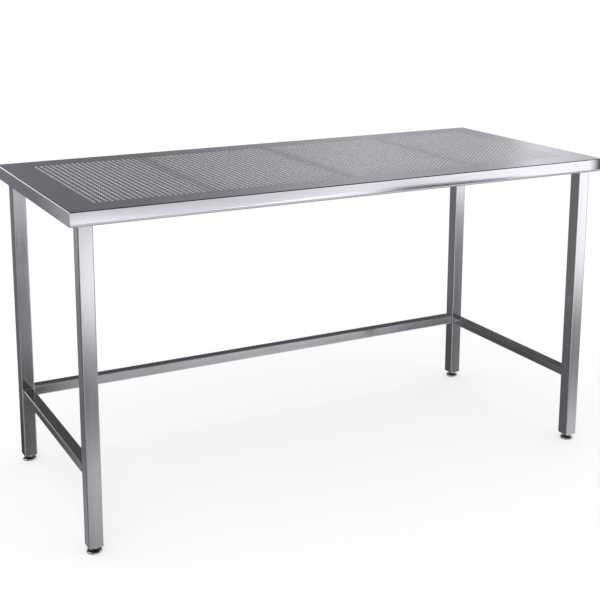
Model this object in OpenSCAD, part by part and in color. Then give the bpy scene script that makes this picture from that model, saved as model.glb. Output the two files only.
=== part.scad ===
// Cleanroom table: a perforated stainless worktop on a welded square tube frame with levelling feet.
// The origin is on the floor under the middle of the worktop, +X to the right, +Y to the rear, +Z up.

/* [Overall] */
// Length of the worktop, left to right
table_w = 1600; // [1400:10:2000]
// Depth of the worktop, front to rear
table_d = 700; // [600:10:900]
// Height of the worktop over the floor, with the feet screwed in
table_h = 880; // [800:5:1000]

/* [Worktop] */
// Thickness of the worktop sheet
sheet_t = 1.5; // [1:0.1:2]
// Height of the rim that the sheet is folded down to
rim_h = 38; // [32:1:50]
// Outer radius of the bends along the top edges and under the short rims
bend_r = 2.5; // [2.1:0.1:4]
// Outer radius of the lower bend of the two long rims
lower_bend_r = 8; // [4:0.5:10]
// Width of the flange that turns inwards under the rim
flange_w = 16; // [12:1:20]

/* [Perforation] */
// Diameter of one hole
hole_d = 8; // [5:0.5:10]
// Distance between neighbouring holes, the same both ways
hole_pitch = 15; // [12:1:20]
// Width of the plain margin round the perforated field
margin = 80; // [70:5:120]
// One hole in this many is cut, each way: the others are left out to keep the solid light
hole_step = 3; // [3:1:6]

/* [Frame tubes] */
// Outer side of the square leg tube
leg_s = 38; // [35:1:45]
// Wall of the leg tube
leg_wall = 1.5; // [1.2:0.1:2]
// Distance from the rim's outer face to the leg
leg_inset = 25; // [20:1:40]
// Outer corner radius of all tubes
tube_r = 3; // [2.5:0.1:4]
// Width of the top rails and of the stretchers, seen from above
rail_w = 30; // [25:1:34]
// Height of the top rails
rail_h = 30; // [25:1:32]
// Wall of the rails and stretchers
rail_wall = 1.5; // [1.2:0.1:2]
// Height of the rear stretcher's tube
rear_stretcher_h = 30; // [25:1:35]
// Height of the side stretchers' tubes
side_stretcher_h = 25; // [20:1:35]
// Underside of the stretchers over the floor
stretcher_z = 199; // [120:1:400]

/* [Stiffeners] */
// Distance between neighbouring stiffeners under the worktop
stiffener_gap = 400; // [300:10:450]
// Width of a stiffener's closed side
stiffener_w = 26; // [20:1:40]
// Height of a stiffener
stiffener_h = 20; // [15:1:28]
// Width of each lip that is welded to the sheet
lip_w = 12; // [8:1:15]
// Thickness of a stiffener's sheet
stiffener_t = 1.5; // [1:0.1:2]

/* [Worktop fixings] */
// Diameter of the studs welded under the worktop
stud_d = 6; // [5:1:8]
// Length of the studs
stud_l = 14; // [12:1:20]
// Distance from the middle to the outer studs of the long rails
stud_x = 550; // [450:10:600]
// Clearance on the radius round the studs, where they pass through the rails
stud_hole_c = 0.5; // [0.25:0.25:1.5]
// Clearance on the radius round the nuts' flanges, in the access holes below them
access_c = 2; // [1.5:0.5:3]
// Width of the nuts across their flats
nut_af = 10; // [9:1:13]
// Height of the nuts, flange included
nut_h = 7; // [6:0.5:9]
// Diameter of the nuts' flange
nut_flange_d = 14; // [12:1:16]
// Thickness of the nuts' flange
nut_flange_t = 1.5; // [1:0.1:2]

/* [Feet] */
// Height of the legs' lower ends over the floor, with the feet screwed in
foot_h = 18; // [17:0.5:25]
// How far a foot can be screwed out
foot_travel = 25; // [15:1:30]
// Diameter of a foot's disc
disc_d = 40; // [36:1:50]
// Height of the disc's rounded edge
disc_edge_h = 7; // [5:0.5:8]
// Height of the disc at its middle
disc_h = 9; // [8:0.1:9.5]
// Diameter of the flat on top of the disc
disc_flat_d = 20; // [18:1:24]
// Diameter of the threaded spindle
spindle_d = 10; // [8:1:12]
// Diameter of the pivot that the disc turns on
pivot_d = 7; // [5:0.5:8]
// Diameter of the riveted head under the pivot
rivet_d = 10; // [9:0.5:12]
// Thickness of the riveted head
rivet_t = 1.5; // [1:0.1:2]
// Height of the recess under the disc that holds the riveted head
recess_h = 3; // [2.5:0.1:3.5]
// Width of the spindle's spanner collar across its flats
collar_af = 14; // [13:1:17]
// Height of the lock nut
lock_nut_h = 4.5; // [4:0.1:5]
// Width of the lock nut across its flats
lock_nut_af = 17; // [16:1:19]
// Depth of the plug in the lower end of a leg
plug_h = 32; // [25:1:45]
// Length of the threaded bush in the plug
bush_h = 24; // [18:1:24]
// Diameter of the threaded bush
bush_d = 16; // [14:1:20]
// Length of thread that stays in the bush when the foot is screwed right out
engaged_l = 16; // [12:1:18]

/* [Clearances] */
// Clearance on the radius of a shaft in its hole
fit_c = 0.05; // [0.02:0.01:0.1]
// Gap between faces that turn or slide past each other
face_c = 0.3; // [0.2:0.05:0.4]

/* [Hidden] */
$fn = 64;

// Each leg's corner as the signs of its X and Y
front_left = [-1, -1];
front_right = [1, -1];
rear_left = [-1, 1];
rear_right = [1, 1];

// Frame lines worked out from the sizes above
rim_z = table_h - rim_h;
frame_z = table_h - sheet_t;
leg_x = table_w / 2 - leg_inset - leg_s / 2;
leg_y = table_d / 2 - leg_inset - leg_s / 2;
long_l = 2 * leg_x - leg_s;
short_l = 2 * leg_y - leg_s;
hole_cols = floor((table_w - 2 * margin) / hole_pitch);
hole_rows = floor((table_d - 2 * margin) / hole_pitch);
stiffener_l = 2 * leg_y - rail_w;
stud_hole_d = stud_d + 2 * stud_hole_c;
access_d = nut_flange_d + 2 * access_c;
collar_z = disc_h + face_c;
lock_nut_z = foot_h - lock_nut_h;
cut = 1;

// A rectangle between two corners, with round corners of one radius at the top and another below
module rounded_frame(x, low, high, top_r, low_r) {
  translate([-x, low + low_r])
    square([2 * x, high - low - top_r - low_r]);
  translate([-x + low_r, low])
    square([2 * (x - low_r), low_r]);
  translate([-x + top_r, high - top_r])
    square([2 * (x - top_r), top_r]);
  for (side = [-1, 1]) {
    translate([side * (x - low_r), low + low_r])
      circle(r = low_r);
    translate([side * (x - top_r), high - top_r])
      circle(r = top_r);
  }
}

// A rectangle about the origin with round corners
module rounded_rect(w, h, r) {
  square([w - 2 * r, h], center = true);
  square([w, h - 2 * r], center = true);
  for (x = [-1, 1], y = [-1, 1])
    translate([x * (w / 2 - r), y * (h / 2 - r)])
      circle(r = r);
}

// The cross-section of a rectangular tube
module tube_section(w, h, wall) {
  difference() {
    rounded_rect(w, h, tube_r);
    rounded_rect(w - 2 * wall, h - 2 * wall, tube_r - wall);
  }
}

module along_x(l) {
  rotate([90, 0, 90])
    linear_extrude(l, center = true)
      children();
}

module along_y(l) {
  rotate([90, 0, 0])
    linear_extrude(l, center = true)
      children();
}

module at_corner(corner) {
  translate([corner.x * leg_x, corner.y * leg_y, 0])
    children();
}

// The block that the folded sheet would fill, drawn in by a distance on every side
module folded_block(inward) {
  intersection() {
    along_x(table_w - 2 * inward)
      rounded_frame(table_d / 2 - inward, rim_z + inward, table_h - inward, bend_r - inward, lower_bend_r - inward);
    along_y(table_d - 2 * inward)
      rounded_frame(table_w / 2 - inward, rim_z + inward, table_h - inward, bend_r - inward, bend_r - inward);
  }
}

// The first hole to cut in a row, so that the cut ones lie as evenly about the middle as the pitch allows
function first_hole(count) = floor(((count - 1) % hole_step) / 2);

// The perforation's holes, one in hole_step each way, at their true places
module field_holes() {
  first_col = first_hole(hole_cols);
  first_row = first_hole(hole_rows);
  for (i = [first_col : hole_step : hole_cols - 1], j = [first_row : hole_step : hole_rows - 1])
    translate([(i + 0.5 - hole_cols / 2) * hole_pitch, (j + 0.5 - hole_rows / 2) * hole_pitch, frame_z - cut])
      cylinder(d = hole_d, h = sheet_t + 2 * cut);
}

module worktop() {
  color("silver")
    difference() {
      folded_block(0);
      folded_block(sheet_t);
      translate([flange_w - table_w / 2, flange_w - table_d / 2, rim_z - cut])
        cube([table_w - 2 * flange_w, table_d - 2 * flange_w, sheet_t + 2 * cut]);
      field_holes();
    }
}

// Places what fastens the worktop: three points along each long rail and one on each short rail
module at_fixings() {
  for (y = [-leg_y, leg_y], x = [-stud_x, 0, stud_x])
    translate([x, y, frame_z])
      children();
  for (x = [-leg_x, leg_x])
    translate([x, 0, frame_z])
      children();
}

module worktop_studs() {
  color("lightgray")
    at_fixings()
      translate([0, 0, -stud_l])
        cylinder(d = stud_d, h = stud_l);
}

module hexagon(af) {
  circle(d = af / cos(30), $fn = 6);
}

module worktop_nuts() {
  color("lightgray")
    at_fixings()
      translate([0, 0, -rail_wall - nut_h])
        difference() {
          union() {
            linear_extrude(nut_h)
              hexagon(nut_af);
            translate([0, 0, nut_h - nut_flange_t])
              cylinder(d = nut_flange_d, h = nut_flange_t);
          }
          translate([0, 0, -cut])
            cylinder(r = stud_d / 2 + fit_c, h = nut_h + 2 * cut);
        }
}

// Cuts the stud's hole in a rail's top wall and the spanner's hole in the wall below it
module fixing_holes() {
  at_fixings() {
    translate([0, 0, -rail_h / 2])
      cylinder(d = stud_hole_d, h = rail_h / 2 + cut);
    translate([0, 0, -rail_h - cut])
      cylinder(d = access_d, h = rail_h / 2 + cut);
  }
}

module long_rail(side) {
  color("silver")
    difference() {
      translate([0, side * leg_y, frame_z - rail_h / 2])
        along_x(long_l)
          tube_section(rail_w, rail_h, rail_wall);
      fixing_holes();
    }
}

module short_rail(side) {
  color("silver")
    difference() {
      translate([side * leg_x, 0, frame_z - rail_h / 2])
        along_y(short_l)
          tube_section(rail_w, rail_h, rail_wall);
      fixing_holes();
    }
}

// A hat-shaped channel from the front rail to the rear rail, its lips against the sheet
module stiffener(x) {
  color("silver")
    translate([x, 0, frame_z - stiffener_h])
      along_y(stiffener_l)
        difference() {
          union() {
            translate([-stiffener_w / 2, 0])
              square([stiffener_w, stiffener_h]);
            translate([-stiffener_w / 2 - lip_w, stiffener_h - stiffener_t])
              square([stiffener_w + 2 * lip_w, stiffener_t]);
          }
          translate([stiffener_t - stiffener_w / 2, stiffener_t])
            square([stiffener_w - 2 * stiffener_t, stiffener_h]);
        }
}

module leg() {
  color("silver")
    translate([0, 0, foot_h])
      linear_extrude(frame_z - foot_h)
        tube_section(leg_s, leg_s, leg_wall);
}

module rear_stretcher() {
  color("silver")
    translate([0, leg_y, stretcher_z + rear_stretcher_h / 2])
      along_x(long_l)
        tube_section(rail_w, rear_stretcher_h, rail_wall);
}

module side_stretcher(side) {
  color("silver")
    translate([side * leg_x, 0, stretcher_z + side_stretcher_h / 2])
      along_y(short_l)
        tube_section(rail_w, side_stretcher_h, rail_wall);
}

// The plastic plug pressed into a leg's lower end, bored for the bush
module plug() {
  side = leg_s - 2 * leg_wall - 2 * fit_c;
  color("dimgray")
    translate([0, 0, foot_h])
      difference() {
        linear_extrude(plug_h)
          rounded_rect(side, side, tube_r - leg_wall);
        translate([0, 0, -cut])
          cylinder(r = bush_d / 2 + fit_c, h = plug_h + 2 * cut);
      }
}

// The steel bush that carries the foot's thread, flush with the plug
module bush() {
  color("lightgray")
    translate([0, 0, foot_h])
      difference() {
        cylinder(d = bush_d, h = bush_h);
        translate([0, 0, -cut])
          cylinder(r = spindle_d / 2 + fit_c, h = bush_h + 2 * cut);
      }
}

module lock_nut() {
  color("gray")
    translate([0, 0, lock_nut_z])
      difference() {
        linear_extrude(lock_nut_h)
          hexagon(lock_nut_af);
        translate([0, 0, -cut])
          cylinder(r = spindle_d / 2 + fit_c, h = lock_nut_h + 2 * cut);
      }
}

// Riveted head, pivot, spanner collar and threaded rod, in one turned piece
module spindle() {
  head_z = recess_h - face_c - rivet_t;
  collar_h = lock_nut_z - face_c - collar_z;
  top_z = foot_h + engaged_l + foot_travel;
  color("lightgray")
    union() {
      translate([0, 0, head_z])
        cylinder(d = rivet_d, h = rivet_t);
      translate([0, 0, head_z + rivet_t / 2])
        cylinder(d = pivot_d, h = collar_z - head_z);
      translate([0, 0, collar_z])
        linear_extrude(collar_h)
          hexagon(collar_af);
      translate([0, 0, collar_z + collar_h / 2])
        cylinder(d = spindle_d, h = top_z - collar_z - collar_h / 2);
    }
}

// The disc is turned: a half-round edge, a sloping top and a recess under the pivot's hole
module disc() {
  edge_r = disc_edge_h / 2;
  edge_x = disc_d / 2 - edge_r;
  hole_r = pivot_d / 2 + fit_c;
  recess_r = rivet_d / 2 + face_c;
  color("lightgray")
    rotate_extrude()
      difference() {
        union() {
          translate([edge_x, edge_r])
            circle(r = edge_r);
          polygon([
            [0, 0],
            [edge_x, 0],
            [edge_x, disc_edge_h],
            [disc_flat_d / 2, disc_h],
            [0, disc_h]
          ]);
        }
        translate([-cut, -cut])
          square([hole_r + cut, disc_h + 2 * cut]);
        translate([-cut, -cut])
          square([recess_r + cut, recess_h + cut]);
      }
}

worktop();
worktop_studs();
worktop_nuts();
long_rail(-1);  // front_rail
long_rail(1);  // rear_rail
short_rail(-1);  // left_rail
short_rail(1);  // right_rail
stiffener(-stiffener_gap);  // left_stiffener
stiffener(0);  // middle_stiffener
stiffener(stiffener_gap);  // right_stiffener
at_corner(front_left) leg();  // front_left_leg
at_corner(front_right) leg();  // front_right_leg
at_corner(rear_left) leg();  // rear_left_leg
at_corner(rear_right) leg();  // rear_right_leg
rear_stretcher();
side_stretcher(-1);  // left_stretcher
side_stretcher(1);  // right_stretcher
at_corner(front_left) plug();  // front_left_plug
at_corner(front_right) plug();  // front_right_plug
at_corner(rear_left) plug();  // rear_left_plug
at_corner(rear_right) plug();  // rear_right_plug
at_corner(front_left) bush();  // front_left_bush
at_corner(front_right) bush();  // front_right_bush
at_corner(rear_left) bush();  // rear_left_bush
at_corner(rear_right) bush();  // rear_right_bush
at_corner(front_left) lock_nut();  // front_left_lock_nut
at_corner(front_right) lock_nut();  // front_right_lock_nut
at_corner(rear_left) lock_nut();  // rear_left_lock_nut
at_corner(rear_right) lock_nut();  // rear_right_lock_nut
at_corner(front_left) spindle();  // front_left_spindle
at_corner(front_right) spindle();  // front_right_spindle
at_corner(rear_left) spindle();  // rear_left_spindle
at_corner(rear_right) spindle();  // rear_right_spindle
at_corner(front_left) disc();  // front_left_disc
at_corner(front_right) disc();  // front_right_disc
at_corner(rear_left) disc();  // rear_left_disc
at_corner(rear_right) disc();  // rear_right_disc
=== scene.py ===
import math
import bpy
from mathutils import Matrix, Vector


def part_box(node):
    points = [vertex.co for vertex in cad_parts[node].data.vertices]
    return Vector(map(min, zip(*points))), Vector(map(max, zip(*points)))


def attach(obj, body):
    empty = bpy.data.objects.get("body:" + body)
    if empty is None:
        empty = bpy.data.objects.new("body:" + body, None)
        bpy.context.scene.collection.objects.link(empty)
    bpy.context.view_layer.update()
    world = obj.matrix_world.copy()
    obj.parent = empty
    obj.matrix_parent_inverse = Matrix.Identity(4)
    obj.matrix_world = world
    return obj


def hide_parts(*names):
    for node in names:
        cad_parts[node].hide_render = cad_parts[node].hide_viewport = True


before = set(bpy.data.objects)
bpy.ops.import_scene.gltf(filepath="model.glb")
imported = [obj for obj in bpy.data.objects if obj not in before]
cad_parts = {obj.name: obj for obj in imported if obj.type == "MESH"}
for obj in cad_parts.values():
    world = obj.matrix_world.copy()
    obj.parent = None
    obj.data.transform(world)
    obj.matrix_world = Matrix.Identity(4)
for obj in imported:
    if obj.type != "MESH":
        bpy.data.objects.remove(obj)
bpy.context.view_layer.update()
mm = 0.001
samePlace = 0.1 * mm  # points nearer than this count as one place
mergeClose = 0.005 * mm
corners = ["front_left", "front_right", "rear_left", "rear_right"]
tubes = {  # each tube's node, with the axis that its length and its brushing run along
    "front_rail": "x", "rear_rail": "x", "left_rail": "y", "right_rail": "y",
    "rear_stretcher": "x", "left_stretcher": "y", "right_stretcher": "y",
    "front_left_leg": "z", "front_right_leg": "z", "rear_left_leg": "z", "rear_right_leg": "z",
}
print("frame loaded:", len(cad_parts), "nodes")

# Camera, where the photograph was taken from
view = {
    "place": (-1.5421, -2.8942, 1.4626),
    "yaw": 0.4850,  # turned to the right of straight ahead, in radians
    "pitch": 0.2022,  # looking down
    "roll": 0.0027,
    "lens": 69.52,
    "sensor": 36,
    "shiftY": -0.18,
    "clipEnd": 100,
}


def makeCamera():
    ahead = Vector((
        math.sin(view["yaw"]) * math.cos(view["pitch"]),
        math.cos(view["yaw"]) * math.cos(view["pitch"]),
        -math.sin(view["pitch"]),
    ))
    right = Vector((math.cos(view["yaw"]), -math.sin(view["yaw"]), 0))
    up = right.cross(ahead)
    c, s = math.cos(view["roll"]), math.sin(view["roll"])
    right, up = c * right + s * up, c * up - s * right
    turned = Matrix((right, up, -ahead)).transposed().to_4x4()
    bpy.ops.object.camera_add()
    camera = bpy.context.object
    camera.matrix_world = Matrix.Translation(view["place"]) @ turned
    camera.data.sensor_width = view["sensor"]
    camera.data.lens = view["lens"]
    camera.data.shift_y = view["shiftY"]
    camera.data.clip_end = view["clipEnd"]
    bpy.context.scene.camera = camera


makeCamera()
print("camera made")

# Small helpers for modelling


def clearSelection():
    if bpy.context.object and bpy.context.object.mode != "OBJECT":
        bpy.ops.object.mode_set(mode="OBJECT")
    bpy.ops.object.select_all(action="DESELECT")


def pickOnly(piece):
    clearSelection()
    piece.select_set(True)
    bpy.context.view_layer.objects.active = piece


def editAll(piece):
    pickOnly(piece)
    bpy.ops.object.mode_set(mode="EDIT")
    bpy.ops.mesh.select_mode(type="VERT")
    bpy.ops.mesh.select_all(action="SELECT")


def leaveEdit():
    bpy.ops.object.mode_set(mode="OBJECT")


def settle(piece):  # puts the place, turn and scale into the mesh
    pickOnly(piece)
    bpy.ops.object.transform_apply(location=True, rotation=True, scale=True)


def selectWhere(piece, kind, test):
    # kind is EDGE or FACE; test is given each one's points and, for a face, its normal
    editAll(piece)
    bpy.ops.mesh.select_mode(type=kind)
    bpy.ops.mesh.select_all(action="DESELECT")
    leaveEdit()
    mesh = piece.data
    if kind == "FACE":
        for face in mesh.polygons:
            face.select = test([mesh.vertices[i].co for i in face.vertices], face.normal)
    else:
        for edge in mesh.edges:
            edge.select = test([mesh.vertices[i].co for i in edge.vertices])
    bpy.ops.object.mode_set(mode="EDIT")


def applyAll(piece):
    pickOnly(piece)
    for modifier in list(piece.modifiers):
        bpy.ops.object.modifier_apply(modifier=modifier.name)


def keepFlatsFlat(piece, degrees):
    # smooth over small angles, with the big faces' normals kept, so that a flat reflects as a flat
    pickOnly(piece)
    bpy.ops.object.shade_smooth_by_angle(angle=math.radians(degrees))
    weighted = piece.modifiers.new("weighted", "WEIGHTED_NORMAL")
    weighted.keep_sharp = True
    weighted.weight = 80
    applyAll(piece)


def outwards(piece, mergeDistance=0.0):
    editAll(piece)
    if mergeDistance:
        bpy.ops.mesh.remove_doubles(threshold=mergeDistance)
    bpy.ops.mesh.normals_make_consistent(inside=False)
    leaveEdit()


def selectOpenEdges():
    bpy.ops.mesh.select_all(action="DESELECT")
    bpy.ops.mesh.select_non_manifold(
        extend=False, use_wire=False, use_boundary=True,
        use_multi_face=False, use_non_contiguous=False, use_verts=False,
    )


def drawProfile(name, profile):  # extrudes one point after another, and stays in edit mode
    clearSelection()
    bpy.ops.mesh.primitive_plane_add(size=1)
    piece = bpy.context.object
    piece.name = name
    editAll(piece)
    bpy.ops.mesh.merge(type="CENTER")
    bpy.ops.transform.translate(value=(profile[0][0], 0, profile[0][1]))
    for (x0, z0), (x1, z1) in zip(profile, profile[1:]):
        bpy.ops.mesh.extrude_vertices_move(TRANSFORM_OT_translate={"value": (x1 - x0, 0, z1 - z0)})
    return piece


def addBlock(name, low, high):
    clearSelection()
    bpy.ops.mesh.primitive_cube_add(size=1)
    block = bpy.context.object
    block.name = name
    block.scale = high - low
    block.location = (low + high) / 2
    settle(block)
    return block


def camelName(text):
    first, *rest = text.split("_")
    return first + "".join(word.capitalize() for word in rest)


def dress(piece, name, body, slotName, material, *nodes):
    piece.name = name
    piece.data.name = name
    piece.data.materials.clear()
    piece.data.materials.append(material)
    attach(piece, body)
    if nodes:
        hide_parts(*nodes)


# Shader helpers


def addNode(tree, kind, inputs=None, **settings):
    node = tree.nodes.new(kind)
    for key, value in settings.items():
        setattr(node, key, value)
    for key, value in (inputs or {}).items():
        plug(tree, value, node.inputs[key])
    return node


def plug(tree, value, socket):
    # a value may be a node, which means its first output, an output socket, or a plain number
    if isinstance(value, bpy.types.Node):
        tree.links.new(value.outputs[0], socket)
    elif isinstance(value, bpy.types.NodeSocket):
        tree.links.new(value, socket)
    else:
        socket.default_value = value


def calc(tree, operation, *values, clamp=False):
    inputs = dict(enumerate(values))
    return addNode(tree, "ShaderNodeMath", inputs, operation=operation, use_clamp=clamp)


def vectorCalc(tree, operation, *values):
    node = addNode(tree, "ShaderNodeVectorMath", dict(enumerate(values)), operation=operation)
    givesNumber = operation in ("DOT_PRODUCT", "LENGTH")
    return node.outputs["Value" if givesNumber else "Vector"]


def scaled(tree, vector, factor):
    inputs = {0: vector, "Scale": factor}
    return addNode(tree, "ShaderNodeVectorMath", inputs, operation="SCALE").outputs["Vector"]


def between(tree, value, low, high, toLow=0.0, toHigh=1.0, smooth=True):
    kind = "SMOOTHSTEP" if smooth else "LINEAR"
    return addNode(tree, "ShaderNodeMapRange", {
        "Value": value, "From Min": low, "From Max": high, "To Min": toLow, "To Max": toHigh,
    }, interpolation_type=kind)


def band(tree, value, rise, fall=None):
    # 1 between the two, each given as where it starts and ends; without a fall it stays at 1
    risen = between(tree, value, *rise)
    return calc(tree, "MULTIPLY", risen, between(tree, value, *fall, 1.0, 0.0)) if fall else risen


def grey(level):
    return (level, level, level, 1)


def mixColours(tree, share, first, second, blend="MIX"):
    node = addNode(tree, "ShaderNodeMix", data_type="RGBA", blend_type=blend)
    plug(tree, share, node.inputs["Factor"])
    plug(tree, first, node.inputs[6])
    plug(tree, second, node.inputs[7])
    return node.outputs[2]


def mixVectors(tree, share, first, second):
    node = addNode(tree, "ShaderNodeMix", data_type="VECTOR")
    plug(tree, share, node.inputs["Factor"])
    plug(tree, first, node.inputs[4])
    plug(tree, second, node.inputs[5])
    return node.outputs[1]


def rampBetween(tree, value, stops):
    # stops are the value, which the ramp's 0 to 1 is fitted to, and a grey level
    low, high = stops[0][0], stops[-1][0]
    share = between(tree, value, low, high, smooth=False)
    node = addNode(tree, "ShaderNodeValToRGB", {"Fac": share})
    elements = node.color_ramp.elements
    for number, (at, level) in enumerate(stops):
        place = (at - low) / (high - low)
        stop = elements[number] if number < 2 else elements.new(place)
        stop.position = place
        stop.color = grey(level)
    return node.outputs[0]


def startGroup(name, inputs, outputs):
    group = bpy.data.node_groups.new(name, "ShaderNodeTree")
    kinds = {"value": "NodeSocketFloat", "vector": "NodeSocketVector", "colour": "NodeSocketColor"}
    for key, (kind, start) in inputs.items():
        socket = group.interface.new_socket(name=key, in_out="INPUT", socket_type=kinds[kind])
        if start is not None:
            socket.default_value = start
    for key, kind in outputs.items():
        group.interface.new_socket(name=key, in_out="OUTPUT", socket_type=kinds[kind])
    return group, addNode(group, "NodeGroupInput").outputs, addNode(group, "NodeGroupOutput").inputs


def useGroup(tree, group, inputs):
    node = addNode(tree, "ShaderNodeGroup", node_tree=group)
    for key, value in inputs.items():
        plug(tree, value, node.inputs[key])
    return node.outputs


# Effects that several materials share
brush = {
    "layers": {  # how far each noise is stretched, and its detail; fine is also the bump's height
        "fine": ((14, 1100, 1100), 2),
        "streak": ((1.6, 70, 70), 3),
        "cloud": ((5, 5, 5), 3),
    },
    "fineShade": 0.5,  # beside the streaks at 1
    "cloudShade": 0.4,
    "streakRoughness": 0.6,  # beside the clouds at 1
}


def makeBrushing():
    # fine lines along the first axis, wider streaks, and faint cloudy patches from handling
    group, given, out = startGroup("brushing", {
        "Place": ("vector", None),
        "Colour": ("colour", (0.6, 0.6, 0.6, 1)),
        "Contrast": ("value", 0.1),
        "Roughness": ("value", 0.2),
        "Spread": ("value", 0.05),
    }, {"Colour": "colour", "Roughness": "value", "Height": "value"})
    noises = []
    for stretch, detail in brush["layers"].values():
        place = vectorCalc(group, "MULTIPLY", given["Place"], stretch)
        inputs = {"Vector": place, "Scale": 1.0, "Detail": detail}
        noise = addNode(group, "ShaderNodeTexNoise", inputs).outputs[0]
        noises.append(calc(group, "SUBTRACT", noise, 0.5))
    fine, streak, cloud = noises
    lines = calc(group, "ADD", calc(group, "MULTIPLY", fine, brush["fineShade"]), streak)
    lines = calc(group, "ADD", lines, calc(group, "MULTIPLY", cloud, brush["cloudShade"]))
    shade = calc(group, "MULTIPLY_ADD", lines, given["Contrast"], 1.0)
    plug(group, scaled(group, given["Colour"], shade), out["Colour"])
    uneven = calc(group, "ADD", cloud, calc(group, "MULTIPLY", streak, brush["streakRoughness"]))
    rough = calc(group, "MULTIPLY_ADD", uneven, given["Spread"], given["Roughness"], clamp=True)
    plug(group, rough, out["Roughness"])
    plug(group, fine, out["Height"])
    return group


edgeWearLook = {
    "samples": 4,
    "turned": (0.995, 0.9),  # how far a softened normal turns from the plain one, as a cosine
    "patches": (0.35, 0.6),
    "detail": 3,
}


def makeEdgeWear():
    # 1 where an edge is within reach, broken up by noise
    group, given, out = startGroup("edgeWear", {
        "Place": ("vector", None),
        "Reach": ("value", 0.001),
        "Patchiness": ("value", 60),
    }, {"Mask": "value"})
    soft = addNode(group, "ShaderNodeBevel", {"Radius": given["Reach"]})
    soft.samples = edgeWearLook["samples"]
    plain = addNode(group, "ShaderNodeNewGeometry").outputs["Normal"]
    turned = between(group, vectorCalc(group, "DOT_PRODUCT", soft, plain), *edgeWearLook["turned"])
    noise = addNode(group, "ShaderNodeTexNoise", {
        "Vector": given["Place"], "Scale": given["Patchiness"], "Detail": edgeWearLook["detail"],
    }).outputs[0]
    mask = calc(group, "MULTIPLY", turned, between(group, noise, *edgeWearLook["patches"]))
    plug(group, mask, out["Mask"])
    return group


brushing, edgeWear = makeBrushing(), makeEdgeWear()


def startMaterial(name):
    material = bpy.data.materials.new(name)
    material.use_nodes = True
    tree = material.node_tree
    place = addNode(tree, "ShaderNodeTexCoord").outputs["Object"]
    return material, tree, tree.nodes["Principled BSDF"], place


def alongAxis(tree, place, axis):  # the same place with the brushed axis first
    parts = addNode(tree, "ShaderNodeSeparateXYZ", {"Vector": place}).outputs
    order = {"x": (0, 1, 2), "y": (1, 0, 2), "z": (2, 0, 1)}[axis]
    return addNode(tree, "ShaderNodeCombineXYZ", {n: parts[i] for n, i in enumerate(order)})


tubeLook = {
    "colour": (0.60, 0.60, 0.61),
    "contrast": 0.22,
    "roughness": 0.12,
    "spread": 0.07,
    "wear": 0.6,
    "wearReach": 1.2 * mm,
    "wornColour": (0.72, 0.72, 0.73),
    "wornShine": 0.5,  # the share of its roughness that a fully worn edge loses
    "bump": 0.10,
    "bumpDepth": 0.2 * mm,
    "anisotropy": 0.3,
    "metallic": 1.0,
    "runsInto": 0.7,  # how squarely a face meets the brushing before its brushing turns
}
sheetLook = {
    **tubeLook,
    "colour": (0.612, 0.595, 0.622),
    "contrast": 0.10,
    "roughness": 0.085,
    "spread": 0.05,
    "wear": 0.2,
    "wearReach": 0.9 * mm,
    "anisotropy": 0.4,
}
plainLook = {
    **tubeLook,
    "colour": (0.52, 0.52, 0.52),
    "contrast": 0.3,
    "roughness": 0.34,
    "anisotropy": 0.0,
}
# the stiffeners' mill-finish steel, rougher and half metallic, with its colour lightened as painted
# light against the shade that the sheet above casts on them
millPaintedLightLook = {**plainLook, "colour": (0.74, 0.74, 0.74), "roughness": 0.5, "metallic": 0.45}
fastenerLook = {
    **plainLook,
    "colour": (0.50, 0.50, 0.49),
    "roughness": 0.28,
    "wearReach": 0.4 * mm,
}
footLook = {
    **tubeLook,
    "colour": (0.66, 0.66, 0.67),
    "contrast": 0.06,
    "roughness": 0.09,
    "spread": 0.06,
    "wearReach": 0.4 * mm,
    "bump": 0.03,
    "anisotropy": 0.0,
}
# the lock nuts' steel is darker: partly its own plainer finish, partly painted shade for the shadow
# under each leg
nutShadedLook = {
    **footLook,
    "colour": (0.42, 0.42, 0.43),
    "roughness": 0.15,
    "spread": 0.12,
    "bump": 0.1,
}
weldLook = {
    **plainLook,
    "colour": (0.50, 0.48, 0.46),
    "contrast": 0.5,
    "roughness": 0.30,
    "wearReach": 0.3 * mm,
}


def makeSteel(name, axis, look):
    material, tree, shader, place = startMaterial(name)
    # on faces that the brushing would run into, it goes along the next axis instead
    units = {"x": (1, 0, 0), "y": (0, 1, 0), "z": (0, 0, 1)}
    other = "y" if axis == "x" else "x"
    normal = addNode(tree, "ShaderNodeNewGeometry").outputs["Normal"]
    facing = calc(tree, "ABSOLUTE", vectorCalc(tree, "DOT_PRODUCT", normal, units[axis]))
    runsInto = calc(tree, "GREATER_THAN", facing, look["runsInto"])
    along, across = alongAxis(tree, place, axis), alongAxis(tree, place, other)
    turned = mixVectors(tree, runsInto, along, across)
    grain = useGroup(tree, brushing, {
        "Place": turned, "Colour": (*look["colour"], 1), "Contrast": look["contrast"],
        "Roughness": look["roughness"], "Spread": look["spread"],
    })
    worn = useGroup(tree, edgeWear, {"Place": place, "Reach": look["wearReach"]})["Mask"]
    share = calc(tree, "MULTIPLY", worn, look["wear"])
    colour = mixColours(tree, share, grain["Colour"], (*look["wornColour"], 1))
    plug(tree, colour, shader.inputs["Base Color"])
    shine = -look["wornShine"] * look["roughness"]
    rough = calc(tree, "MULTIPLY_ADD", share, shine, grain["Roughness"])
    plug(tree, rough, shader.inputs["Roughness"])
    bump = addNode(tree, "ShaderNodeBump", {
        "Height": grain["Height"], "Strength": look["bump"], "Distance": look["bumpDepth"],
    })
    plug(tree, bump, shader.inputs["Normal"])
    shader.inputs["Metallic"].default_value = look["metallic"]
    if look["anisotropy"]:
        # the reflection spreads across the brushed lines
        shader.inputs["Anisotropic"].default_value = look["anisotropy"]
        line = mixVectors(tree, runsInto, units[axis], units[other])
        plug(tree, vectorCalc(tree, "CROSS_PRODUCT", normal, line), shader.inputs["Tangent"])
    return material, tree, shader, bump


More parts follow.
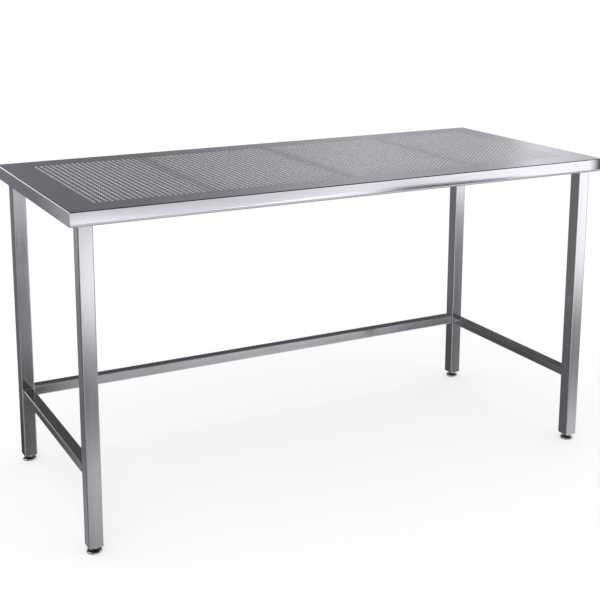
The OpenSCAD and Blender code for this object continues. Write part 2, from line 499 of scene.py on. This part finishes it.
steel = {axis: makeSteel("tubeSteel" + axis.upper(), axis, tubeLook)[0] for axis in "xyz"}
stiffenerSteel = makeSteel("stiffenerSteel", "y", millPaintedLightLook)[0]
fastenerSteel = makeSteel("fastenerSteel", "z", fastenerLook)[0]
footSteel = makeSteel("footSteel", "z", footLook)[0]
nutShadedSteel = makeSteel("nutShadedSteel", "z", nutShadedLook)[0]
weldSteel = makeSteel("weldSteel", "x", weldLook)[0]

plastic = {
    "colour": (0.035, 0.035, 0.038),
    "scuffed": (0.10, 0.10, 0.10),
    "wearReach": 0.6 * mm,
    "wear": 0.7,
    "cloudScale": 40.0,
    "cloudDetail": 4,
    "cloudScuff": 0.15,
    "roughness": 0.36,  # with cloudRoughness added where the clouds are densest
    "cloudRoughness": 0.2,
    "pebbles": 900,
    "pebbleHeight": 0.25,
    "pebbleDepth": 0.1 * mm,
}


def makePlastic():
    material, tree, shader, place = startMaterial("plugPlastic")
    cloud = addNode(tree, "ShaderNodeTexNoise", {
        "Vector": place, "Scale": plastic["cloudScale"], "Detail": plastic["cloudDetail"],
    }).outputs[0]
    pebbles = addNode(tree, "ShaderNodeTexVoronoi", {
        "Vector": place, "Scale": plastic["pebbles"],
    }).outputs[0]
    worn = useGroup(tree, edgeWear, {"Place": place, "Reach": plastic["wearReach"]})["Mask"]
    worn = calc(tree, "MULTIPLY", worn, plastic["wear"])
    cloudy = calc(tree, "MULTIPLY", cloud, plastic["cloudScuff"])
    share = calc(tree, "ADD", worn, cloudy, clamp=True)
    colour = mixColours(tree, share, (*plastic["colour"], 1), (*plastic["scuffed"], 1))
    plug(tree, colour, shader.inputs["Base Color"])
    rough = calc(tree, "MULTIPLY_ADD", cloud, plastic["cloudRoughness"], plastic["roughness"])
    plug(tree, rough, shader.inputs["Roughness"])
    bump = addNode(tree, "ShaderNodeBump", {
        "Height": pebbles, "Strength": plastic["pebbleHeight"], "Distance": plastic["pebbleDepth"],
    })
    plug(tree, bump, shader.inputs["Normal"])
    return material


plugPlastic = makePlastic()
print("materials made:", len(bpy.data.materials))

# Worktop: a folded sheet with every hole of its field, in place of its lighter solid
worktop = {
    "sheet": 1.5 * mm,
    "flange": 16 * mm,
    "topBend": 2.5 * mm,
    "lowerBend": 8 * mm,
    "rim": 38 * mm,
    "bendSteps": 6,
    "seamBevel": 0.7 * mm,
    "flatShare": 0.9,  # the two large flats span more than this share of half the top
    "fieldInset": 0.6 * mm,
    "hole": 8 * mm,
    "holeSides": 12,
    "pitch": 15 * mm,
    "columns": 96,
    "rows": 36,
    "weldedCells": 0.05 * mm,
    "rolledEdge": 0.8 * mm,
    "rolledDepth": 0.4 * mm,
    "rolledStrength": 0.5,
    # painted shade round each hole: how far out it reaches, its strength and its colour
    "paintedShadeRing": 2.0 * mm,
    "paintedShadeStrength": 0.92,
    "paintedShadeColour": (0.05, 0.05, 0.055),
    "wallSlope": 0.6,  # a face whose normal is less upright than this is a hole's wall
    "wallColour": (0.88, 0.88, 0.91),
    "wallRoughness": 0.4,
    "wallMetallic": 0.35,
    "rimSlope": 0.5,
    "bowLength": 55 * mm,  # the rim's right end turns away a little towards its ground corner
    "bow": 1.3,
    "smooth": 35,
}


def makeTopSteel():
    material, tree, shader, bump = makeSteel("worktopSteel", "x", sheetLook)
    place = addNode(tree, "ShaderNodeTexCoord").outputs["Object"]
    # reach is the distance from the middle of the nearest hole
    cell = vectorCalc(tree, "FRACTION", scaled(tree, place, 1 / worktop["pitch"]))
    middle = vectorCalc(tree, "SUBTRACT", cell, (0.5, 0.5, 0))
    middle = vectorCalc(tree, "MULTIPLY", middle, (1, 1, 0))
    reach = calc(tree, "MULTIPLY", vectorCalc(tree, "LENGTH", middle), worktop["pitch"])
    radius = worktop["hole"] / 2
    rolled = between(tree, reach, radius, radius + worktop["rolledEdge"], -1.0, 0.0)
    half = (worktop["columns"] * worktop["pitch"] / 2, worktop["rows"] * worktop["pitch"] / 2)
    parts = addNode(tree, "ShaderNodeSeparateXYZ", {"Vector": place}).outputs
    inField = calc(tree, "MULTIPLY", *[
        calc(tree, "LESS_THAN", calc(tree, "ABSOLUTE", parts[n]), half[n]) for n in (0, 1)
    ])
    rounded = addNode(tree, "ShaderNodeBump", {
        "Height": calc(tree, "MULTIPLY", rolled, inField),
        "Strength": worktop["rolledStrength"], "Distance": worktop["rolledDepth"],
    })
    normal = addNode(tree, "ShaderNodeNewGeometry").outputs["Normal"]
    normalParts = addNode(tree, "ShaderNodeSeparateXYZ", {"Vector": normal}).outputs
    upright = calc(tree, "ABSOLUTE", normalParts["Z"])
    past = calc(tree, "SUBTRACT", parts["X"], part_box("worktop")[1].x - worktop["bowLength"])
    drop = calc(tree, "POWER", calc(tree, "MAXIMUM", past, 0.0), 2.0)
    drop = calc(tree, "MULTIPLY", drop, calc(tree, "LESS_THAN", upright, worktop["rimSlope"]))
    bowed = addNode(tree, "ShaderNodeBump", {
        "Height": calc(tree, "MULTIPLY", drop, -worktop["bow"]), "Strength": 1.0, "Distance": 1.0,
    })
    plug(tree, bowed, rounded.inputs["Normal"])
    plug(tree, rounded, bump.inputs["Normal"])
    # painted shade: the steel's colour is darkened in a ring round each hole of the field, where
    # its rolled edge would fall into shade
    shadeMask = between(tree, reach, radius, radius + worktop["paintedShadeRing"], worktop["paintedShadeStrength"], 0.0)
    shadeMask = calc(tree, "MULTIPLY", shadeMask, inField)
    baseColour = shader.inputs["Base Color"]
    bright = baseColour.links[0].from_socket
    shadedSheet = mixColours(tree, shadeMask, bright, (*worktop["paintedShadeColour"], 1))
    # the punched walls of the holes are raw and matt
    steep = calc(tree, "LESS_THAN", upright, worktop["wallSlope"])
    isWall = calc(tree, "MULTIPLY", steep, inField)
    plug(tree, mixColours(tree, isWall, shadedSheet, (*worktop["wallColour"], 1)), baseColour)
    roughness = shader.inputs["Roughness"]
    brushed = roughness.links[0].from_socket
    rough = between(tree, isWall, 0.0, 1.0, brushed, worktop["wallRoughness"], smooth=False)
    plug(tree, rough, roughness)
    metal = between(tree, isWall, 0.0, 1.0, 1.0, worktop["wallMetallic"], smooth=False)
    plug(tree, metal, shader.inputs["Metallic"])
    return material


topSteel = makeTopSteel()


def makeProfileBlock(alongX, inward):
    # a block with its long edges rounded, which the folded sheet would fill in one direction
    low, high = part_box("worktop")
    inset = Vector((inward, inward, inward))
    block = addBlock("block", low + inset, high - inset)
    across = 1 if alongX else 0
    middle = (low.z + high.z) / 2
    lowerBend = worktop["lowerBend"] if alongX else worktop["topBend"]
    for atTop, bend in ((True, worktop["topBend"]), (False, lowerBend)):
        def longEdge(ends):
            a, b = ends
            level = abs(a.z - b.z) < mm and abs(a[across] - b[across]) < mm
            return level and (a.z > middle) == atTop
        selectWhere(block, "EDGE", longEdge)
        bpy.ops.mesh.bevel(
            offset=bend - inward, offset_type="OFFSET", segments=worktop["bendSteps"], profile=0.5,
        )
        leaveEdit()
    return block


def cutWith(piece, other, operation):
    modifier = piece.modifiers.new("cut", "BOOLEAN")
    modifier.object = other
    modifier.operation = operation
    modifier.solver = "EXACT"
    applyAll(piece)
    bpy.data.objects.remove(other)


def makeFoldedShell():
    low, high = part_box("worktop")
    shell = makeProfileBlock(True, 0)
    cutWith(shell, makeProfileBlock(False, 0), "INTERSECT")
    inner = makeProfileBlock(True, worktop["sheet"])
    cutWith(inner, makeProfileBlock(False, worktop["sheet"]), "INTERSECT")

    def cornerEdge(ends):
        a, b = ends
        return (a - b).xy.length < samePlace and (a - b).length > 0.3 * worktop["rim"]

    selectWhere(shell, "EDGE", cornerEdge)
    bpy.ops.mesh.bevel(
        offset=worktop["seamBevel"], offset_type="OFFSET", segments=2, profile=0.5,
    )
    leaveEdit()
    cutWith(shell, inner, "DIFFERENCE")
    flange, sheet = worktop["flange"], worktop["sheet"]
    openingLow = low + Vector((flange, flange, -sheet))
    openingHigh = Vector((high.x - flange, high.y - flange, low.z + 2 * sheet))
    cutWith(shell, addBlock("opening", openingLow, openingHigh), "DIFFERENCE")
    return shell


def makeHoleField(top):
    # one cell is a hole in a square of sheet; arrays repeat it over the field
    pitch, columns, rows = worktop["pitch"], worktop["columns"], worktop["rows"]
    first = Vector((-(columns - 1) / 2 * pitch, -(rows - 1) / 2 * pitch, top))
    clearSelection()
    bpy.ops.mesh.primitive_plane_add(size=pitch, location=first)
    cell = bpy.context.object
    settle(cell)
    bpy.ops.object.mode_set(mode="EDIT")
    bpy.ops.mesh.delete(type="ONLY_FACE")
    bpy.ops.mesh.primitive_circle_add(
        vertices=worktop["holeSides"], radius=worktop["hole"] / 2, location=first,
    )
    bpy.ops.mesh.select_all(action="SELECT")
    bpy.ops.mesh.fill()
    leaveEdit()
    pickOnly(cell)
    bpy.ops.object.duplicate()
    under = bpy.context.object
    under.location = (0, 0, -worktop["sheet"])
    settle(under)
    pickOnly(cell)
    under.select_set(True)
    bpy.ops.object.join()
    wall = worktop["hole"] / 2 + samePlace
    selectWhere(cell, "EDGE", lambda ends: all((v - first).xy.length < wall for v in ends))
    bpy.ops.mesh.bridge_edge_loops()
    leaveEdit()
    for axis, count in ((0, columns), (1, rows)):
        array = cell.modifiers.new("repeat", "ARRAY")
        array.count = count
        array.use_relative_offset = False
        array.use_constant_offset = True
        array.constant_offset_displace = [pitch if i == axis else 0 for i in range(3)]
        array.use_merge_vertices = True
        array.merge_threshold = worktop["weldedCells"]
    applyAll(cell)
    return cell


def makeWorktop():
    low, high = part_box("worktop")
    sheet = makeFoldedShell()
    levels = (high.z, high.z - worktop["sheet"])

    def spans(values, half):
        return max(values) - min(values) > worktop["flatShare"] * half

    def isFlat(points, normal):
        wide = spans([p.x for p in points], high.x) and spans([p.y for p in points], high.y)
        atLevel = any(abs(points[0].z - level) < samePlace for level in levels)
        return wide and abs(normal.z) > 0.99 and atLevel

    selectWhere(sheet, "FACE", isFlat)
    bpy.ops.mesh.inset(thickness=worktop["fieldInset"], use_even_offset=True)
    bpy.ops.mesh.delete(type="FACE")
    leaveEdit()
    field = makeHoleField(high.z)
    pickOnly(sheet)
    field.select_set(True)
    bpy.ops.object.join()
    for level in levels:  # the plain margin joins the field and the folded rim, above and below
        editAll(sheet)
        bpy.ops.mesh.select_mode(type="EDGE")
        selectOpenEdges()
        leaveEdit()
        points = sheet.data.vertices
        for side in sheet.data.edges:
            heights = [points[i].co.z for i in side.vertices]
            side.select = side.select and all(abs(z - level) < samePlace for z in heights)
        bpy.ops.object.mode_set(mode="EDIT")
        bpy.ops.mesh.fill()
        leaveEdit()
    outwards(sheet)
    editAll(sheet)
    bpy.ops.mesh.quads_convert_to_tris()
    leaveEdit()
    keepFlatsFlat(sheet, worktop["smooth"])
    dress(sheet, "worktopSheet", "frame", "worktop_steel", topSteel, "worktop")
    print("worktop sheet:", len(sheet.data.polygons), "triangles")


makeWorktop()

# Feet: modelled once at the origin, then copied to each corner
foot = {
    "discRadius": 20 * mm,
    "discEdge": 7 * mm,
    "discHeight": 9 * mm,
    "discChamfer": 0.4 * mm,
    "arcStep": 15,
    "flatRadius": 10 * mm,
    "crown": (0.8 * mm, 0.2 * mm),  # the flat's outer edge runs down over this width and height
    "discSmooth": 40,
    "pivotRadius": 3.5 * mm,
    "fit": 0.05 * mm,
    "recessRadius": 5.3 * mm,
    "recess": 3 * mm,
    "rivetRadius": 5 * mm,
    "rivetLow": 1.2 * mm,
    "rivetHigh": 2.7 * mm,
    "rivetChamfer": 0.2 * mm,
    "collarLow": 9.3 * mm,
    "collarHigh": 13.2 * mm,
    "collarAcross": 14 * mm,
    "rodRadius": 5 * mm,
    "rodTop": 59 * mm,
    "rodBevel": 0.5 * mm,
    "coreInset": 0.4 * mm,  # how far the rod's core stays inside the thread's root
    "overlap": 0.1 * mm,
    "threadStart": 14.5 * mm,
    "threadLead": 0.4 * mm,
    "neckOver": 0.3 * mm,
    "threadPitch": 1.5 * mm,
    "threadDepth": 0.85 * mm,
    "tooth": (0.40, 0.52, 0.92),  # where its crest starts and ends and its root starts, in pitches
    "threadSteps": 24,
    "nutLow": 13.5 * mm,
    "nutHigh": 18 * mm,
    "nutAcross": 17 * mm,
    "coneSlope": 30,  # the cone that chamfers a hexagon's corners, and its reach
    "coneFlat": 0.95,
    "coneReach": 1.05,
    "turnSteps": 48,
    "smooth": 32,
}


def turnProfile(name, profile, steps):
    # spins the half section about the upright axis
    piece = drawProfile(name, profile)
    bpy.ops.mesh.select_all(action="SELECT")
    bpy.ops.mesh.spin(steps=steps, angle=2 * math.pi, center=(0, 0, 0), axis=(0, 0, 1))
    leaveEdit()
    outwards(piece, mergeClose)
    return piece


def makeDisc():
    bend = foot["discEdge"] / 2
    middle = foot["discRadius"] - bend
    hole = foot["pivotRadius"] + foot["fit"]
    top, flat, chamfer = foot["discHeight"], foot["flatRadius"], foot["discChamfer"]
    recess, recessTop = foot["recessRadius"], foot["recess"]
    crownWidth, crownDrop = foot["crown"]
    angles = [math.radians(degrees) for degrees in range(0, 181, foot["arcStep"])]
    profile = [
        (recess, recessTop), (recess, chamfer), (recess + chamfer, 0),
        *[(middle + bend * math.sin(a), bend - bend * math.cos(a)) for a in angles],
        (flat + crownWidth, top - crownDrop), (flat, top),
        (hole + chamfer, top), (hole, top - chamfer), (hole, recessTop), (recess, recessTop),
    ]
    piece = turnProfile("disc", profile, foot["turnSteps"])
    keepFlatsFlat(piece, foot["discSmooth"])
    return piece


def hexagon(name, across, low, high, bore):
    # a six-sided prism, chamfered by a cone at both ends as nuts are, and bored if asked
    radius, length, middle = across / math.sqrt(3), high - low, (0, 0, (low + high) / 2)
    clearSelection()
    bpy.ops.mesh.primitive_cylinder_add(vertices=6, radius=radius, depth=length, location=middle)
    piece = bpy.context.object
    piece.name = name
    settle(piece)
    slope = math.tan(math.radians(foot["coneSlope"]))
    flat = foot["coneFlat"] * across / 2
    reach = radius * foot["coneReach"]
    drop = (reach - flat) * slope
    cone = turnProfile("cone", [
        (0, low), (flat, low), (reach, low + drop), (reach, high - drop), (flat, high), (0, high),
    ], foot["turnSteps"])
    cutWith(piece, cone, "INTERSECT")
    if bore:
        clearSelection()
        bpy.ops.mesh.primitive_cylinder_add(
            vertices=foot["turnSteps"], radius=bore, depth=4 * length, location=middle,
        )
        cutWith(piece, bpy.context.object, "DIFFERENCE")
    return piece


def makeThread(name, low, high):
    # a ridge wound up the rod: one tooth's section is screwed round by the Screw modifier
    pitch, outer = foot["threadPitch"], foot["rodRadius"]
    root = outer - foot["threadDepth"]
    crestStart, crestEnd, rootStart = [low + share * pitch for share in foot["tooth"]]
    piece = drawProfile(name, [
        (root, low), (outer, crestStart), (outer, crestEnd), (root, rootStart), (root, low + pitch),
    ])
    leaveEdit()
    screw = piece.modifiers.new("thread", "SCREW")
    screw.axis = "Z"
    screw.angle = 2 * math.pi
    screw.screw_offset = pitch
    screw.iterations = int((high - low) / pitch) - 1
    screw.steps = foot["threadSteps"]
    screw.render_steps = foot["threadSteps"]
    screw.use_merge_vertices = True
    screw.merge_threshold = 0.01 * mm
    applyAll(piece)
    outwards(piece, mergeClose)
    # both open ends are closed by fans, which meet in one point hidden in the rod's core
    editAll(piece)
    selectOpenEdges()
    bpy.ops.mesh.select_mode(type="EDGE")
    bpy.ops.mesh.extrude_edges_move()
    bpy.ops.mesh.merge(type="CENTER")
    leaveEdit()
    return piece


def makeSpindle():
    root = foot["rodRadius"] - foot["threadDepth"]
    core = root - foot["coreInset"]
    rod, pivot, rivet = foot["rodRadius"], foot["pivotRadius"], foot["rivetRadius"]
    bevel, chamfer, overlap = foot["rodBevel"], foot["rivetChamfer"], foot["overlap"]
    low, high, top = foot["rivetLow"], foot["rivetHigh"], foot["rodTop"]
    collarLow, collarHigh, lead = foot["collarLow"], foot["collarHigh"], foot["threadStart"]
    shoulder = top - 1.5 * foot["threadPitch"]
    body = turnProfile("spindle", [
        (0, low), (rivet - bevel, low), (rivet, low + bevel), (rivet, high - chamfer),
        (rivet - chamfer, high), (pivot, high), (pivot, collarLow + overlap),
        (core, collarLow + overlap), (core, shoulder), (root, shoulder), (root, top - bevel),
        (root - bevel, top), (0, top),
    ], foot["turnSteps"])
    collar = hexagon("collar", foot["collarAcross"], collarLow, collarHigh, 0)
    neck = turnProfile("neck", [
        (0, collarHigh - overlap), (rod, collarHigh - overlap), (rod, lead - overlap),
        (root, lead + foot["neckOver"]), (0, lead + foot["neckOver"]),
    ], foot["turnSteps"])
    thread = makeThread("thread", lead - foot["threadLead"], top - foot["threadPitch"])
    for part in (collar, neck, thread):
        outwards(part, mergeClose)
    pickOnly(body)
    for part in (collar, neck, thread):
        part.select_set(True)
    bpy.ops.object.join()
    keepFlatsFlat(body, foot["smooth"])
    return body


def makeLockNut():
    bore = foot["rodRadius"] + foot["fit"]
    piece = hexagon("lockNut", foot["nutAcross"], foot["nutLow"], foot["nutHigh"], bore)
    outwards(piece, mergeClose)
    keepFlatsFlat(piece, foot["smooth"])
    return piece


def placeAtCorner(model, corner):
    low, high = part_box(corner + "_disc")
    pickOnly(model)
    bpy.ops.object.duplicate()
    piece = bpy.context.object
    piece.location = ((low.x + high.x) / 2, (low.y + high.y) / 2, 0)
    settle(piece)
    return piece


def makeFeet():
    models = {
        "disc": (makeDisc(), "foot", "foot_steel", footSteel),
        "spindle": (makeSpindle(), "screw", "foot_steel", footSteel),
        "lock_nut": (makeLockNut(), "frame", "nut_steel", nutShadedSteel),
    }
    for key, (model, body, slotName, material) in models.items():
        for corner in corners:
            node = corner + "_" + key
            bodyName = body if body == "frame" else corner + "_" + body
            piece = placeAtCorner(model, corner)
            dress(piece, camelName(node), bodyName, slotName, material, node)
        print(key + ":", len(model.data.polygons), "faces each")
        bpy.data.objects.remove(model)


makeFeet()

# Weld beads where the rails and stretchers meet the legs
weld = {
    "bead": 0.9 * mm,
    "ripple": 0.22,  # share by which the bead's size changes from step to step
    "drift": (0.4, 1.7),  # a slower change on top: its share of the ripple, and its pace a step
    "stepLength": 1.1 * mm,
    "cornerRadius": 3 * mm,
    "cornerStep": 15,
    "sunk": 0.45 * mm,
    "mergeClose": 0.002 * mm,
    "smooth": 60,
}


def roundedLoop(width, height, radius, step):
    # points round a rectangle with round corners, about the origin
    def onCorner(sx, sy, degrees):
        angle = math.radians(degrees)
        return (sx * (width / 2 - radius) + radius * math.cos(angle),
                sy * (height / 2 - radius) + radius * math.sin(angle))

    points = []
    sides = [(1, 1, 0), (-1, 1, 90), (-1, -1, 180), (1, -1, 270)]
    for n, (sx, sy, start) in enumerate(sides):
        points += [onCorner(sx, sy, start + a) for a in range(0, 91, weld["cornerStep"])]
        x0, y0 = points[-1]
        x1, y1 = onCorner(*sides[(n + 1) % 4])
        count = int(math.dist((x0, y0), (x1, y1)) / step)
        points += [
            (x0 + (x1 - x0) * k / count, y0 + (y1 - y0) * k / count) for k in range(1, count)
        ]
    return points


def makeWeld(node, axis, atHigh):
    low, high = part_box(node)
    i = "xyz".index(axis)
    across = [n for n in range(3) if n != i]
    size = high - low
    width, height = [size[n] for n in across]
    points = roundedLoop(width, height, weld["cornerRadius"], weld["stepLength"])
    centre = (low + high) / 2
    curve = bpy.data.curves.new("weld", "CURVE")
    curve.dimensions = "3D"
    curve.bevel_depth = weld["bead"]
    curve.bevel_resolution = 1
    spline = curve.splines.new("POLY")
    spline.points.add(len(points) - 1)
    spline.use_cyclic_u = True
    inward = -weld["sunk"] if atHigh else weld["sunk"]
    share, pace = weld["drift"]
    for n, (a, b) in enumerate(points):
        place = [0, 0, 0]
        place[across[0]] = centre[across[0]] + a
        place[across[1]] = centre[across[1]] + b
        place[i] = (high if atHigh else low)[i] + inward
        spline.points[n].co = (*place, 1)
        swell = math.cos(n * math.pi) + share * math.sin(n * pace)
        spline.points[n].radius = 1 + weld["ripple"] * swell
    bead = bpy.data.objects.new("weld", curve)
    bpy.context.scene.collection.objects.link(bead)
    pickOnly(bead)
    bpy.ops.object.convert(target="MESH")
    bead = bpy.context.object
    outwards(bead, weld["mergeClose"])
    pickOnly(bead)
    bpy.ops.object.shade_smooth_by_angle(angle=math.radians(weld["smooth"]))
    name = camelName(node) + "Weld" + ("High" if atHigh else "Low")
    dress(bead, name, "frame", "tube_steel", weldSteel)


for node, axis in tubes.items():
    if axis != "z":
        for atHigh in (False, True):
            makeWeld(node, axis, atHigh)
print("welds made")

# Finishes of the frame's own pieces
finishes = {
    **{node: steel[axis] for node, axis in tubes.items()},
    **{side + "_stiffener": stiffenerSteel for side in ("left", "middle", "right")},
    **{corner + "_plug": plugPlastic for corner in corners},
    **{corner + "_bush": fastenerSteel for corner in corners},
    "worktop_studs": fastenerSteel,
    "worktop_nuts": fastenerSteel,
}
for node, material in finishes.items():
    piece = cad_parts[node]
    if not piece.material_slots:
        piece.data.materials.append(material)
    for place in piece.material_slots:
        place.material = material
print("finishes given to", len(finishes), "nodes")

# Studio: a pale floor, an even white room, and the lighter and darker sides that polished steel
# mirrors. Directions are in degrees: round is clockwise from straight behind the table, and up is
# above the horizon. A pair is where a change starts and ends.
studio = {
    "white": 1.0,
    "fill": 1.0,  # the room's light on everything that isn't a mirror
    "tint": (0.985, 0.98, 1.03),
    "floorColour": 0.93,
    "floorGlow": 0.10,
    "floorClear": 0.45,
    "floorSize": 60,
    "lampPlace": (-2.2, -2.6, 3.4),
    "lampAim": (0, 0, 0.5),
    "lampSize": 2.4,
    "lampPower": 25,
    "horizon": (-1.5, 1.5),
    # above the horizon: walls, and a dark ceiling that starts higher on the left and at the sides
    "ceiling": 0.09,
    "ceilingUp": (12.5, 17.0),
    "ceilingLift": 6,
    "liftRound": (3.0, -3.0),
    "zenith": 0.04,
    "zenithUp": (30.0, 45.0),
    "sides": ((52.0, 62.0), (110.0, 120.0)),
    "sideLift": 28,
    "sideWall": 1.1,
    "walls": [  # round, and brightness
        (-180, 0.35), (-140, 0.5), (-90, 0.5), (-50, 0.3), (-30, 0.2), (-22.5, 0.25), (-20.5, 2.0),
        (2, 2.0), (9, 0.26), (16, 0.20), (20, 0.22), (24, 0.30), (31, 0.50), (37, 0.46),
        (38.8, 0.65), (39.4, 0.9), (40, 0.55), (40.8, 0.8), (42, 0.65), (60, 0.8), (90, 0.45),
        (130, 0.4), (138, 0.35), (180, 0.35),
    ],
    # below the horizon: the front, the back and the left, each with bands by up or by round
    "frontRound": (80.0, 100.0),
    "frontBelow": [
        (-90, 0.7), (-60, 0.9), (-36, 0.95), (-31, 0.75), (-27.5, 0.5), (-26, 0.55),
        (-24.5, 0.68), (-22.5, 0.95), (-21.3, 0.6), (-19.6, 0.36), (-18.3, 0.34), (-16.8, 0.56),
        (-15.5, 1.25), (-14, 1.8), (-12, 1.7), (-5, 1.4),
    ],
    "frontMiddle": 138.0,
    "frontTilt": 0.1,  # how the front's bands climb to the right of its middle
    "backBelow": [
        (-40, 0.5), (-26, 0.42), (-24, 0.27), (-22, 0.22), (-19.5, 0.26), (-17, 0.33),
        (-14, 0.50), (-5, 0.48),
    ],
    "underRound": ((-15.9, -15.0), (5.0, 12.0)),
    "underBelow": [(-40, 0.03), (-22.5, 0.03), (-21, 0.13), (-15, 0.15), (-12, 0.2), (-5, 0.35)],
    "leftRound": (-45.0, -60.0),
    "leftBelow": [(-180, 0.8), (-160, 0.5), (-120, 0.4), (-105, 0.12), (-50, 0.12), (-40, 0.2)],
}
# Patches of one grey over the front's bands and the back's: where each rises and falls, by round
# and by up
frontPatches = [
    {"grey": 0.06, "round": ((163.9, 165.2), (171.0, 178.0))},
    {"grey": 0.16, "round": ((140.6, 141.6), (146.6, 148.6)), "up": ((-26, -22), (-12.2, -11.4))},
    {"grey": 0.02, "round": ((104.0, 112.0), (122.0, 137.5)), "up": ((-16.0, -13.0),)},
    {"grey": 0.72, "round": ((141.0, 162.0),), "up": ((-13.3, -12.7),)},
]
backPatches = [
    {"grey": 0.22, "round": ((-21.0, -30.0),)},
    {"grey": 0.08, "round": ((-42.0, -40.0), (-35.0, -33.0)), "up": ((-16.5, -18.0),)},
    {"grey": 0.45, "round": ((8.0, 30.0),)},
]


def makeWorld():
    world = bpy.data.worlds.new("room")
    bpy.context.scene.world = world
    world.use_nodes = True
    tree = world.node_tree
    parts = addNode(tree, "ShaderNodeSeparateXYZ", {
        "Vector": addNode(tree, "ShaderNodeTexCoord").outputs["Generated"],
    }).outputs
    around = calc(tree, "DEGREES", calc(tree, "ARCTAN2", parts["X"], parts["Y"]))
    up = calc(tree, "DEGREES", calc(tree, "ARCSINE", parts["Z"]))

    def patched(colour, patches):
        for patch in patches:
            mask = band(tree, around, *patch["round"])
            if "up" in patch:
                mask = calc(tree, "MULTIPLY", mask, band(tree, up, *patch["up"]))
            colour = mixColours(tree, mask, colour, grey(patch["grey"]))
        return colour

    fromMiddle = calc(tree, "SUBTRACT", around, studio["frontMiddle"])
    tilted = calc(tree, "ADD", up, calc(tree, "MULTIPLY", fromMiddle, studio["frontTilt"]))
    front = patched(rampBetween(tree, tilted, studio["frontBelow"]), frontPatches)
    isUnder = band(tree, around, *studio["underRound"])
    under = rampBetween(tree, up, studio["underBelow"])
    back = mixColours(tree, isUnder, rampBetween(tree, up, studio["backBelow"]), under)
    back = patched(back, backPatches)
    left = rampBetween(tree, around, studio["leftBelow"])
    below = mixColours(tree, between(tree, around, *studio["frontRound"]), back, front)
    below = mixColours(tree, between(tree, around, *studio["leftRound"]), below, left)

    sides = band(tree, calc(tree, "ABSOLUTE", around), *studio["sides"])
    lift = between(tree, around, *studio["liftRound"], 0.0, studio["ceilingLift"])
    lift = calc(tree, "MULTIPLY_ADD", sides, studio["sideLift"], lift)
    isCeiling = between(tree, calc(tree, "SUBTRACT", up, lift), *studio["ceilingUp"])
    isZenith = between(tree, up, *studio["zenithUp"])
    ceiling = mixColours(tree, isZenith, grey(studio["ceiling"]), grey(studio["zenith"]))
    walls = rampBetween(tree, around, studio["walls"])
    walls = mixColours(tree, sides, walls, grey(studio["sideWall"]))
    above = mixColours(tree, isCeiling, walls, ceiling)
    mirrored = mixColours(tree, between(tree, up, *studio["horizon"]), below, above)
    mirrored = mixColours(tree, 1.0, mirrored, (*studio["tint"], 1), "MULTIPLY")

    path = addNode(tree, "ShaderNodeLightPath").outputs
    seen = calc(tree, "MAXIMUM", path["Is Camera Ray"], path["Is Transmission Ray"])
    lit = mixColours(tree, path["Is Glossy Ray"], grey(studio["fill"]), mirrored)
    colour = mixColours(tree, seen, lit, grey(studio["white"]))
    plug(tree, colour, tree.nodes["Background"].inputs["Color"])


def makeFloor():
    # mirrors see the room's lower half in its place, so each side of the table keeps its tone
    clearSelection()
    bpy.ops.mesh.primitive_plane_add(size=studio["floorSize"])
    floor = bpy.context.object
    floor.name = "floor"
    floor.visible_glossy = False
    material = bpy.data.materials.new("floorPaper")
    floor.data.materials.append(material)
    material.use_nodes = True
    tree = material.node_tree
    tree.nodes.remove(tree.nodes["Principled BSDF"])
    paper = addNode(tree, "ShaderNodeBsdfDiffuse", {"Color": grey(studio["floorColour"])})
    seen = addNode(tree, "ShaderNodeLightPath").outputs["Is Camera Ray"]
    strength = calc(tree, "MULTIPLY", seen, studio["floorGlow"])
    glow = addNode(tree, "ShaderNodeEmission", {"Strength": strength})
    both = addNode(tree, "ShaderNodeAddShader", {0: paper, 1: glow})
    # partly clear to the camera, over the same white, so a foot screwed out below it still shows
    clear = calc(tree, "MULTIPLY", seen, studio["floorClear"])
    nothing = addNode(tree, "ShaderNodeBsdfTransparent")
    veil = addNode(tree, "ShaderNodeMixShader", {0: clear, 1: both, 2: nothing})
    plug(tree, veil, tree.nodes["Material Output"].inputs["Surface"])


def makeLamp():
    bpy.ops.object.light_add(type="AREA", location=studio["lampPlace"])
    lamp = bpy.context.object
    lamp.data.size = studio["lampSize"]
    lamp.data.energy = studio["lampPower"]
    aim = Vector(studio["lampAim"]) - Vector(studio["lampPlace"])
    lamp.rotation_euler = aim.to_track_quat("-Z", "Y").to_euler()
    lamp.visible_glossy = False
    lamp.visible_camera = False


makeWorld()
makeFloor()
makeLamp()
bpy.context.scene.view_settings.view_transform = "Standard"
print("studio made")
